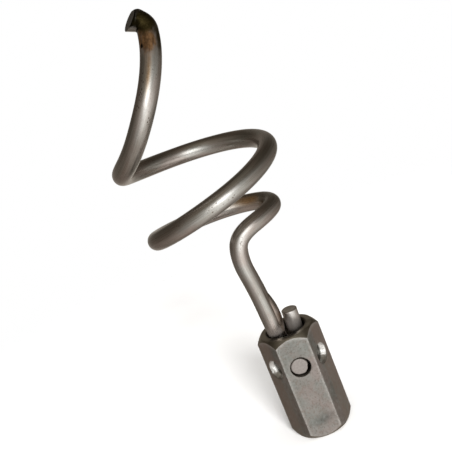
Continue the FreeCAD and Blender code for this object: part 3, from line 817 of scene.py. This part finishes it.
    # the painted shade behind the tip's near edge joins the heat scale
    tip_shade = np.zeros(total)
    tip_shade[tip] = np.concatenate(tip_crease_shade)
    scale = np.maximum(scale, 0.75 * step(along, 520.5, 526.0)) * (1 - under)
    cap = step(spoke @ IMAGE_UP, 0.40, 0.85) * step(along, 521.5, 526.0)
    float_attribute(mesh, "cap", 0.9 * cap)
    scale = np.maximum(scale, tip_shade * (1 - 0.6 * under))
    float_attribute(mesh, "scale", scale)
    float_attribute(mesh, "rust", rust * (1 - 0.85 * under))
    float_attribute(mesh, "olive", olive)
    float_attribute(mesh, "shade", gather(SHADE))
    float_attribute(mesh, "painted_highlight", gather(PAINTED_HIGHLIGHT))
    stain = gather(STAINS)
    pits = gather(PITS)
    cr = np.zeros(total)
    cr[:rings * around] = crease_shade_and_lines.ravel()
    # darker brown lines that run on past both ends of the ridge, and patches over it,
    # joined to the painted crease shade
    ridge_off = off[shank * around + int(np.argmax(radius[shank]))]
    for o0, do, amount, s0, ds_ in ((-0.74, 0.13, 0.95, 10.0, 8.0),
                                    (-0.62, 0.13, 1.00, 2.5, 4.5),
                                    (-0.30, 0.09, 0.80, 3.0, 8.0),
                                    (0.10, 0.08, 0.80, 4.0, 8.0),
                                    (-0.35, 0.36, 1.05, -2.0, 5.0),
                                    (0.05, 0.40, 0.90, -5.0, 4.0),
                                    (0.10, 0.30, 0.80, -10.0, 3.5),
                                    (-0.35, 0.34, 0.85, 5.0, 8.0)):
        cr = np.maximum(cr, amount * patch(s[shank] + s0, ds_,
                                           ridge_off + o0, do))
    # brown stain between the ridge and the mouth; painted light in the mouth: a lighter,
    # less metallic patch where the bar goes in
    stain = np.maximum(stain, 0.70 * patch(s[shank] - 8.5, 4.0,
                                           ridge_off - 0.45, 0.26))
    painted_light_patch = (step(along, s[shank] - 4.5, s[shank] - 9.5)
            * step(along, s[shank] - 11.9, s[shank] - 10.4))
    float_attribute(mesh, "painted_light_patch", painted_light_patch)
    float_attribute(mesh, "stain", stain)
    float_attribute(mesh, "pits", pits)
    float_attribute(mesh, "crease_shade_and_lines", cr)
    vector_attribute(mesh, "flow", flow)
    smooth_by_angle(mesh, 32)
    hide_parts("spiral_bar")
    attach(obj, "bar")
    return obj


# painted marks: place along the bar, spread, angle off the front, spread,
# strength
# the first list below is painted highlights: lighter spots where the strands' highlights
# fall
PAINTED_HIGHLIGHT = [(82.9, 4.5, 0.15, 0.45, 1.00), (484.0, 7.0, 0.05, 0.40, 0.65),
          (264.3, 7.0, 0.00, 0.40, 0.50), (371.5, 6.0, 0.02, 0.35, 0.25)]
STAINS = [(130.5, 9.0, -0.30, 0.65, 1.15), (496.5, 8.0, -0.20, 0.22, 0.95),
          (146.0, 6.0, -0.9, 0.5, 0.4)]
PITS = [(261.5, 5.5, 0.30, 0.32, 1.9), (479.0, 5.5, 0.60, 0.30, 0.60),
        (497.0, 4.0, 0.45, 0.30, 0.7), (84.0, 5.0, 0.35, 0.30, 0.8),
        (330.0, 9.0, 0.35, 0.40, 0.4), (487.0, 12.0, -0.72, 0.22, 0.9),
        (240.0, 9.0, -0.45, 0.30, 0.5)]
# the next list is painted shade, partly a browner tone; see the bar material
SHADE = [(226.0, 18.0, -0.35, 0.75, 0.50), (293.0, 11.0, -0.15, 0.70, 0.50),
         (104.0, 9.0, -0.55, 0.60, 0.55), (431.0, 17.0, 0.30, 0.90, 0.45),
         (389.0, 14.0, -0.70, 0.45, 0.45), (312.0, 16.0, -0.9, 0.45, 0.40),
         (345.0, 18.0, -0.8, 0.40, 0.40), (56.0, 16.0, 0.85, 0.30, 0.35),
         (462.0, 16.0, -0.75, 0.40, 0.40), (59.0, 8.0, 0.05, 0.55, 0.38),
         (449.0, 8.0, -0.25, 0.70, 0.35), (379.0, 7.0, 0.25, 0.60, 0.30)]
RUST = [(510.5, 6.0, -0.20, 0.85, 1.6), (515.5, 5.0, -0.10, 0.70, 1.3),
        (512.0, 6.0, -0.95, 0.40, 1.2),
        (502.5, 6.0, -0.10, 0.35, 0.45), (516.0, 6.0, -0.7, 0.5, 1.3)]
OLIVE = [(520.0, 5.8, 0.05, 1.30, 1.9), (512.0, 7.5, 1.00, 0.45, 1.05),
         (515.5, 4.5, 0.80, 0.50, 1.0),
         (503.0, 7.0, 1.10, 0.30, 0.25), (516.5, 3.5, -0.55, 0.35, 0.8)]
SCALE = [(508.3, 1.1, -0.88, 0.15, 1.4), (524.0, 4.0, -0.5, 0.8, 1.2),
         (521.0, 4.5, -0.9, 0.5, 1.1)]

bar = build_bar()


# ---------------------------------------------------------------------------
# hexagonal coupling
# ---------------------------------------------------------------------------

AF2 = 15.0                    # half across flats
CORNER = 30.0 / math.sqrt(3)
LENGTH = 60.0
FACE_R = 14.4
DROP = 3.4
SLOPE = DROP / (CORNER - FACE_R)
SOCKET_R = 10.5
FLOOR = 28.0
MOUTH = 0.6
BORE_R = 5.92
SINK = 1.3
HOLE_R = 5.5
HOLE_Z = 42.6
EDGE = 0.28                   # rounding of the long edges


def hex_columns():
    """Points of the rounded hexagon's outline: (angle, radius, nearness to an edge)."""
    cols = []
    # rounded corner: circle of radius EDGE tangent to both flats
    inset = CORNER - EDGE / math.cos(math.radians(30))
    flat_half = (AF2 - EDGE) * math.tan(math.radians(30))
    for side in range(6):
        mid = math.radians(60 * side + 30)
        normal = np.array([math.cos(mid), math.sin(mid)])
        along = np.array([-math.sin(mid), math.cos(mid)])
        for q in np.linspace(-1, 1, 15):
            p = normal * AF2 + along * flat_half * q
            cols.append((math.atan2(p[1], p[0]), math.hypot(*p),
                         float(step(abs(q), 0.93, 1.0))))
        corner_angle = math.radians(60 * side + 60)
        centre = inset * np.array([math.cos(corner_angle),
                                   math.sin(corner_angle)])
        for a in (-20, -10, 0, 10, 20):
            d = corner_angle + math.radians(a)
            p = centre + EDGE * np.array([math.cos(d), math.sin(d)])
            cols.append((math.atan2(p[1], p[0]), math.hypot(*p), 1.0))
    cols.sort(key=lambda c: c[0] % (2 * math.pi))
    return cols


def rounded_profile(points, radii, n=3):
    """Profile polyline with each inner corner rounded."""
    out = [np.array(points[0], float)]
    for i in range(1, len(points) - 1):
        p = np.array(points[i], float)
        a = np.array(points[i - 1], float) - p
        b = np.array(points[i + 1], float) - p
        r = radii[i]
        if r <= 0:
            out.append(p)
            continue
        la, lb = np.linalg.norm(a), np.linalg.norm(b)
        a, b = a / la, b / lb
        half = math.acos(max(-1, min(1, float(a @ b)))) / 2
        if half > 1.55:
            out.append(p)
            continue
        cut = min(r / math.tan(half), la * 0.45, lb * 0.45)
        r = cut * math.tan(half)
        centre = p + unit(a + b) * r / math.sin(half)
        s0, s1 = p + a * cut - centre, p + b * cut - centre
        for t in np.linspace(0, 1, n + 1):
            d = s0 * (1 - t) + s1 * t
            out.append(centre + unit(d) * r)
    out.append(np.array(points[-1], float))
    return out


def build_coupling():
    cols = hex_columns()
    verts, rows = [], None
    thread_z = np.arange(1.6, FLOOR - 0.2, 0.125)
    for angle, rim, edge_wear_and_highlight in cols:
        drop = (rim - FACE_R) * SLOPE
        pts = [(FACE_R - 1.2, 0.0), (FACE_R, 0.0), (rim, drop),
               (rim, LENGTH - drop), (FACE_R, LENGTH), (SOCKET_R + MOUTH,
                                                        LENGTH)]
        outer = rounded_profile(pts, [0, .25, .2, .2, .25, 0])
        prof = []
        # lower annulus, chamfer, flat rows, chamfer, upper annulus
        lower = outer[:9]
        upper = outer[9:]
        for p in lower:
            prof.append(p)
        z0, z1 = lower[-1][1], upper[0][1]
        for q in np.linspace(0, 1, 32)[1:-1]:
            prof.append(np.array([rim, z0 + (z1 - z0) * q]))
        for p in upper[:-1]:
            prof.append(p)
        lip = 0.13 + 0.06 * math.sin(3 * angle + 0.8) \
            + 0.04 * math.sin(7 * angle + 2.0)
        prof += [np.array([12.1, LENGTH]), np.array([11.74, LENGTH]),
                 np.array([11.68, LENGTH + lip]),
                 np.array([11.50, LENGTH + lip]),
                 np.array([11.30, LENGTH]), np.array([11.1, LENGTH])]
        # mouth, socket, floor, thread bore, countersink
        inner = rounded_profile(
            [(SOCKET_R + MOUTH + 0.3, LENGTH), (SOCKET_R + MOUTH, LENGTH),
             (SOCKET_R, LENGTH - MOUTH), (SOCKET_R, LENGTH - 3)],
            [0, .12, .12, 0])[1:]
        prof += inner
        for z in np.linspace(LENGTH - 4, FLOOR + 0.6, 24):
            prof.append(np.array([SOCKET_R, z]))
        prof += [np.array([SOCKET_R - 0.18, FLOOR + 0.15]),
                 np.array([SOCKET_R - 0.6, FLOOR]),
                 np.array([BORE_R + 1.9, FLOOR]),
                 np.array([BORE_R + 1.3, FLOOR - 0.02])]
        for z in thread_z[::-1]:
            phase = (z / 2.0 - angle / (2 * math.pi)) % 1.0
            depth = max(0.0, min(1.0, (1 - abs(phase - 0.5) * 2) * 1.35 - 0.12))
            end = min(1.0, (FLOOR - 0.2 - z) / 1.2)
            prof.append(np.array([BORE_R + 1.05 * depth * max(0, end), z]))
        prof += [np.array([BORE_R + 1.08, 1.25]),
                 np.array([BORE_R + SINK, 0.03]),
                 np.array([BORE_R + SINK + 0.2, 0.0])]
        rows = len(prof)
        c, s_ = math.cos(angle), math.sin(angle)
        for r, z in prof:
            verts.append((r * c, r * s_, z))
    faces = []
    n = len(cols)
    for i in range(n):
        j = (i + 1) % n
        for k in range(rows):
            k2 = (k + 1) % rows
            faces.append(((i * rows + k, j * rows + k, j * rows + k2,
                           i * rows + k2), 0))
    mats = [coupling_material("coupling_flats", "flat"),
            coupling_material("coupling_turned_ends", "turned"),
            coupling_material("coupling_bore", "bore"),
            coupling_material("coupling_cross_holes", "hole")]
    obj = new_mesh_object("coupling_hexagon", verts, faces, mats)

    # six cross holes, each cutter flared a little where it leaves the flat
    cutters = []
    for side in range(6):
        a = math.radians(60 * side + 30)
        profile = [(4.0, 0.0), (4.0, HOLE_R), (9.0, HOLE_R), (12.0, HOLE_R),
                   (AF2 - 0.22, HOLE_R), (AF2 - 0.10, HOLE_R + 0.035),
                   (AF2 - 0.02, HOLE_R + 0.12), (AF2 + 0.02, HOLE_R + 0.20),
                   (AF2 + 0.9, HOLE_R + 0.22), (AF2 + 0.9, 0.0)]
        m = 72
        cv, cf = [], []
        d = np.array([math.cos(a), math.sin(a), 0])
        e = np.array([-math.sin(a), math.cos(a), 0])
        up = np.array([0, 0, 1.0])
        centre = np.array([0, 0, HOLE_Z])
        ring_id = []
        for dist, r in profile:
            if r == 0:
                ring_id.append((len(cv), 1))
                cv.append(centre + d * dist)
            else:
                ring_id.append((len(cv), m))
                for k in range(m):
                    t = 2 * math.pi * (k + 0.37) / m
                    cv.append(centre + d * dist + r * (e * math.cos(t)
                                                       + up * math.sin(t)))
        for (i0, c0), (i1, c1) in zip(ring_id[:-1], ring_id[1:]):
            for k in range(m):
                k2 = (k + 1) % m
                if c0 == 1:
                    cf.append(((i0, i1 + k2, i1 + k), 0))
                elif c1 == 1:
                    cf.append(((i0 + k, i0 + k2, i1), 0))
                else:
                    cf.append(((i0 + k, i0 + k2, i1 + k2, i1 + k), 0))
        cutters.append(new_mesh_object("cutter_%d" % side, cv, cf, []))
    import bmesh
    for c in cutters + [obj]:
        bm = bmesh.new()
        bm.from_mesh(c.data)
        bmesh.ops.recalc_face_normals(bm, faces=bm.faces)
        bm.to_mesh(c.data)
        bm.free()
    for c in cutters:
        mod = obj.modifiers.new("hole", "BOOLEAN")
        mod.operation = "DIFFERENCE"
        mod.solver = "EXACT"
        mod.object = c
    dg = bpy.context.evaluated_depsgraph_get()
    made = bpy.data.meshes.new_from_object(obj.evaluated_get(dg))
    obj.modifiers.clear()
    obj.data = made
    made.name = "coupling_hexagon"
    for c in cutters:
        bpy.data.objects.remove(c)

    # sort the faces by what made them
    index = []
    for p in made.polygons:
        x, y, z = (c / MM for c in p.center)
        nx, ny, nz = p.normal
        r = math.hypot(x, y)
        a = math.degrees(math.atan2(y, x)) % 60 - 30
        side = math.radians(math.degrees(math.atan2(y, x)) - a)
        d = (x * math.cos(side) + y * math.sin(side))
        off_axis = math.hypot(-x * math.sin(side) + y * math.cos(side),
                              z - HOLE_Z)
        radial = nx * math.cos(side) + ny * math.sin(side)
        if off_axis < HOLE_R + 0.24 and r > SOCKET_R - 0.6 and \
                abs(radial) < 0.95 and abs(off_axis - HOLE_R) < 0.3:
            index.append(3)
        elif z > LENGTH - 0.4 and SOCKET_R + MOUTH - 0.02 < r < FACE_R - 1:
            index.append(1)
        elif d > AF2 - 0.06 and abs(nz) < 0.2:
            index.append(0)
        elif r > SOCKET_R + MOUTH - 0.02 and (abs(nz) >= 0.2):
            index.append(1)
        elif r > SOCKET_R + MOUTH + 0.5:
            index.append(0)
        else:
            index.append(2)
    made.polygons.foreach_set("material_index", index)
    co = np.zeros(len(made.vertices) * 3)
    made.vertices.foreach_get("co", co)
    co = co.reshape(-1, 3) / MM
    ang = np.arctan2(co[:, 1], co[:, 0])
    fold = (np.degrees(ang) % 60) - 30
    rad = np.hypot(co[:, 0], co[:, 1])
    lateral = np.abs(rad * np.sin(np.radians(fold)))
    # wear and painted highlight along the long edges and the chamfers' rims, stronger at
    # the top end
    edge_wear_and_highlight = step(lateral, 8.38, 8.56)
    rim = (np.maximum(rad, FACE_R) - FACE_R) * SLOPE
    rim_gap = np.minimum(np.abs(co[:, 2] - rim),
                         np.abs(LENGTH - rim - co[:, 2]))
    edge_wear_and_highlight = np.maximum(edge_wear_and_highlight, np.where(co[:, 2] > 30, 0.85, 0.25)
                     * step(rim_gap, 0.32, 0.08) * (rad > FACE_R + 0.3))
    float_attribute(made, "edge_wear_and_highlight", edge_wear_and_highlight)
    front = (co[:, 1] < -14.5)
    smudge = front * np.exp(-((co[:, 0] - 1.2) / 6.4) ** 2
                            - ((co[:, 2] - 10.0 - 0.16 * co[:, 0]) / 2.3) ** 2)
    mid = np.radians((np.floor(np.degrees(ang) / 60) + 0.5) * 60)
    depth = rad * np.cos(ang - mid)
    float_attribute(made, "depth", depth)
    deg = np.degrees(ang)
    # painted shade round the mouth and at the top's front left, with painted glints beside
    # the mouth
    top = co[:, 2] > LENGTH - 6
    top_painted_shade = top * np.maximum(
        np.maximum(step(rad, 13.2, 12.2),
                   0.45 * np.exp(-((rad - 15.3) / 1.4) ** 2))
        * np.exp(-((deg + 128) / 14.0) ** 2),
        step(np.abs(deg + 84), 30.0, 19.0) * step(rad, 12.7, 12.05))
    top_painted_shade = np.maximum(top_painted_shade, top * 0.55 * step(rad, 11.9, 11.2))
    # painted glints: two bright spots on the top beside the mouth's front
    glint = top * (rad > 11.2) * np.maximum(
        np.exp(-((deg + 112) / 5.0) ** 2 - ((rad - 12.1) / 0.5) ** 2),
        0.9 * np.exp(-((deg + 61) / 5.0) ** 2 - ((rad - 12.3) / 0.5) ** 2))
    float_attribute(made, "top_painted_shade", top_painted_shade * (1 - glint))
    float_attribute(made, "glint", 0.75 * glint)
    # painted shade for the cross holes: their outer lip, and the whole front hole
    in_front = np.cos(ang + math.pi / 2) > 0.8
    float_attribute(made, "lip", np.maximum(
        step(depth, AF2 - 0.30, AF2 - 0.06) * 0.8, in_front))
    # painted light: marks every flat but the front one
    float_attribute(made, "side_flats_painted_light", np.cos(ang + math.pi / 2) < 0.6)
    float_attribute(made, "smudge", smudge)
    smooth_by_angle(made, 28)
    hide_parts("hex_coupling")
    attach(obj, "coupling")
    return obj


coupling = build_coupling()


# ---------------------------------------------------------------------------
# lock pin
# ---------------------------------------------------------------------------


def build_pin():
    foot = np.array([4.04, 4.2, 28.35])
    axis = unit([0.030, -0.035, 1.0])
    length, radius, edge = 39.9, 4.25, 0.45
    u = unit(np.cross([0, 1.0, 0], axis))
    v = np.cross(axis, u)
    around = 72
    prof = [(0.4, 0.0), (2.0, 0.0), (3.4, 0.0)]
    for a in np.linspace(-90, 0, 7):
        prof.append((radius - edge + edge * math.cos(math.radians(a)),
                     edge + edge * math.sin(math.radians(a))))
    for z in np.linspace(edge, length - edge, 58)[1:-1]:
        prof.append((radius - 0.02 * (0.5 + 0.5 * math.sin(z * 0.7)), z))
    for a in np.linspace(0, 90, 7):
        prof.append((radius - edge + edge * math.cos(math.radians(a)),
                     length - edge + edge * math.sin(math.radians(a))))
    for r, dz in ((3.3, 0.0), (2.6, -0.03), (1.8, -0.05), (1.0, -0.06),
                  (0.35, -0.10)):
        prof.append((r, length + dz))
    verts, flow, edge_wear_and_highlight = [], [], []
    th = np.arange(around) * 2 * math.pi / around
    for r, z in prof:
        verts.append(foot + axis * z + r * (np.cos(th)[:, None] * u
                                            + np.sin(th)[:, None] * v))
        flow.append(np.stack([r * np.cos(th), r * np.sin(th),
                              np.full(around, z)], 1))
        # wear and painted highlight round the top edge
        edge_gap = math.hypot(r - (radius - 0.13), z - (length - 0.13))
        edge_wear_and_highlight.append(np.full(around, float(step(edge_gap, 0.6, 0.1))))
    faces = []
    for i in range(len(prof) - 1):
        for k in range(around):
            k2 = (k + 1) % around
            faces.append(((i * around + k, i * around + k2,
                           (i + 1) * around + k2, (i + 1) * around + k), 0))
    top = (len(prof) - 1) * around
    faces.append((tuple(top + k for k in range(around)), 0))
    faces.append((tuple(reversed(range(around))), 0))
    obj = new_mesh_object("pin_lock", np.vstack(verts), faces,
                          [pin_material()])
    vector_attribute(obj.data, "flow", np.vstack(flow))
    float_attribute(obj.data, "edge_wear_and_highlight", np.concatenate(edge_wear_and_highlight))
    # painted light on the pin's lower part, at and above the mouth
    float_attribute(obj.data, "painted_light_patch", np.concatenate(
        [np.full(around, float(step(z, length - 1.5, length - 7.0)
                               * step(z, 28.2, 30.4)))
         for r, z in prof]))
    smooth_by_angle(obj.data, 30)
    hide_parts("lock_pin")
    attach(obj, "pin")
    return obj


pin = build_pin()


# ---------------------------------------------------------------------------
# stage: pale floor, soft studio light, camera
# ---------------------------------------------------------------------------


def build_floor():
    rings, around = 40, 96
    verts, faces = [(0, 0, 0)], []
    for i in range(1, rings + 1):
        r = 900.0 * i / rings
        for k in range(around):
            a = 2 * math.pi * k / around
            verts.append((r * math.cos(a), r * math.sin(a), -0.05))
    for k in range(around):
        faces.append(((0, 1 + k, 1 + (k + 1) % around), 0))
    for i in range(rings - 1):
        for k in range(around):
            k2 = (k + 1) % around
            a, b = 1 + i * around, 1 + (i + 1) * around
            faces.append(((a + k, b + k, b + k2, a + k2), 0))
    n = Nodes("floor_pale")
    d = n.node("ShaderNodeBsdfDiffuse")
    d.inputs["Color"].default_value = (0.9, 0.9, 0.9, 1)
    clear = n.node("ShaderNodeBsdfTransparent")
    length = n.node("ShaderNodeVectorMath", operation="LENGTH")
    n.link(n.position(), length.inputs[0])
    fade = n.span(length.outputs["Value"], 0.24, 0.46)
    mix = n.node("ShaderNodeMixShader")
    n.link(fade, mix.inputs[0])
    n.link(d.outputs[0], mix.inputs[1])
    n.link(clear.outputs[0], mix.inputs[2])
    n.link(mix.outputs[0], n.out.inputs["Surface"])
    verts[0] = (0, 0, -0.05)
    obj = new_mesh_object("floor", verts, faces, [n.mat])
    obj.visible_glossy = False
    obj.visible_diffuse = False
    obj.visible_shadow = False
    return obj


floor = build_floor()


def build_world():
    world = bpy.data.worlds.new("studio")
    SCENE.world = world
    world.use_nodes = True
    tree = world.node_tree
    tree.nodes.clear()
    out = tree.nodes.new("ShaderNodeOutputWorld")
    coord = tree.nodes.new("ShaderNodeTexCoord")
    total = None
    for direction, sharp, color in SOFT_LIGHTS:
        dot = tree.nodes.new("ShaderNodeVectorMath")
        dot.operation = "DOT_PRODUCT"
        tree.links.new(coord.outputs["Generated"], dot.inputs[0])
        dot.inputs[1].default_value = tuple(unit(direction))
        less = tree.nodes.new("ShaderNodeMath")
        less.operation = "MULTIPLY_ADD"
        tree.links.new(dot.outputs["Value"], less.inputs[0])
        less.inputs[1].default_value = sharp
        less.inputs[2].default_value = -sharp
        power = tree.nodes.new("ShaderNodeMath")
        power.operation = "EXPONENT"
        tree.links.new(less.outputs[0], power.inputs[0])
        scaled = tree.nodes.new("ShaderNodeVectorMath")
        scaled.operation = "SCALE"
        scaled.inputs[0].default_value = color
        tree.links.new(power.outputs[0], scaled.inputs["Scale"])
        if total is None:
            total = scaled.outputs[0]
        else:
            add = tree.nodes.new("ShaderNodeVectorMath")
            add.operation = "ADD"
            tree.links.new(total, add.inputs[0])
            tree.links.new(scaled.outputs[0], add.inputs[1])
            total = add.outputs[0]
    base = tree.nodes.new("ShaderNodeVectorMath")
    base.operation = "ADD"
    tree.links.new(total, base.inputs[0])
    base.inputs[1].default_value = (0.044, 0.035, 0.025)
    soft = tree.nodes.new("ShaderNodeBackground")
    tree.links.new(base.outputs[0], soft.inputs["Color"])
    pale = tree.nodes.new("ShaderNodeBackground")
    pale.inputs["Color"].default_value = (1, 1, 1, 1)
    pale.inputs["Strength"].default_value = 1.0
    path = tree.nodes.new("ShaderNodeLightPath")
    mix = tree.nodes.new("ShaderNodeMixShader")
    tree.links.new(path.outputs["Is Camera Ray"], mix.inputs[0])
    tree.links.new(soft.outputs[0], mix.inputs[1])
    tree.links.new(pale.outputs[0], mix.inputs[2])
    tree.links.new(mix.outputs[0], out.inputs["Surface"])


# direction it comes from, sharpness, colour
SOFT_LIGHTS = [
    ((0.10, -0.975, 0.20), 19.0, (2.62, 2.65, 2.65)),      # main softbox
    ((0.14, -0.81, -0.57), 5.5, (1.06, 1.05, 1.03)),       # low front bounce
    ((0.74, -0.66, -0.12), 5.5, (0.34, 0.33, 0.31)),       # right
    ((0.60, 0.00, -0.80), 4.5, (0.27, 0.24, 0.22)),        # low right
    ((-0.60, -0.70, 0.10), 5.0, (0.20, 0.182, 0.164)),     # left
    ((-0.08, -0.44, 0.90), 5.0, (0.190, 0.172, 0.138)),    # top front
    ((-0.37, -0.08, -0.93), 4.5, (0.25, 0.205, 0.182)),    # low left
    ((-0.82, 0.52, -0.25), 5.0, (0.085, 0.074, 0.064)),    # left, behind
    ((0.86, 0.45, -0.25), 5.0, (0.060, 0.052, 0.045)),     # right, behind
    ((-0.044, 0.967, 0.25), 15.0, (0.105, 0.095, 0.082)),  # high, behind
    ((-0.044, 0.967, -0.26), 14.0, (0.64, 0.60, 0.54)),    # from behind
]
build_world()


def floor_lights():
    """Two wide suns for the pale floor alone."""
    only = bpy.data.collections.new("floor_only")
    only.objects.link(floor)
    for name, direction, angle, strength in (
            ("floor_key", (0.255, -1.0, 0.46), 16, 3.9),
            ("floor_fill", (0.1, -0.2, 1.0), 90, 1.95)):
        light = bpy.data.lights.new(name, "SUN")
        light.angle = math.radians(angle)
        light.energy = strength
        o = bpy.data.objects.new(name, light)
        SCENE.collection.objects.link(o)
        o.rotation_mode = "QUATERNION"
        o.rotation_quaternion = Vector(direction).to_track_quat("Z", "Y")
        o.light_linking.receiver_collection = only


floor_lights()

cam_data = bpy.data.cameras.new("camera")
cam_data.sensor_width = 36.0
cam_data.lens = 800.0 * 36.0 / 452.0
cam_data.clip_start = 0.01
cam_data.clip_end = 20.0
camera = bpy.data.objects.new("camera", cam_data)
SCENE.collection.objects.link(camera)
right = Vector((0.92915, -0.05198, -0.36602))
up = Vector((0.36704, 0.24797, 0.89654))
forward = Vector((-0.04416, 0.96737, -0.24948))
rot = Matrix((right, up, -forward)).transposed()
camera.matrix_world = Matrix.Translation(Vector(EYE * MM)) @ rot.to_4x4()
SCENE.camera = camera
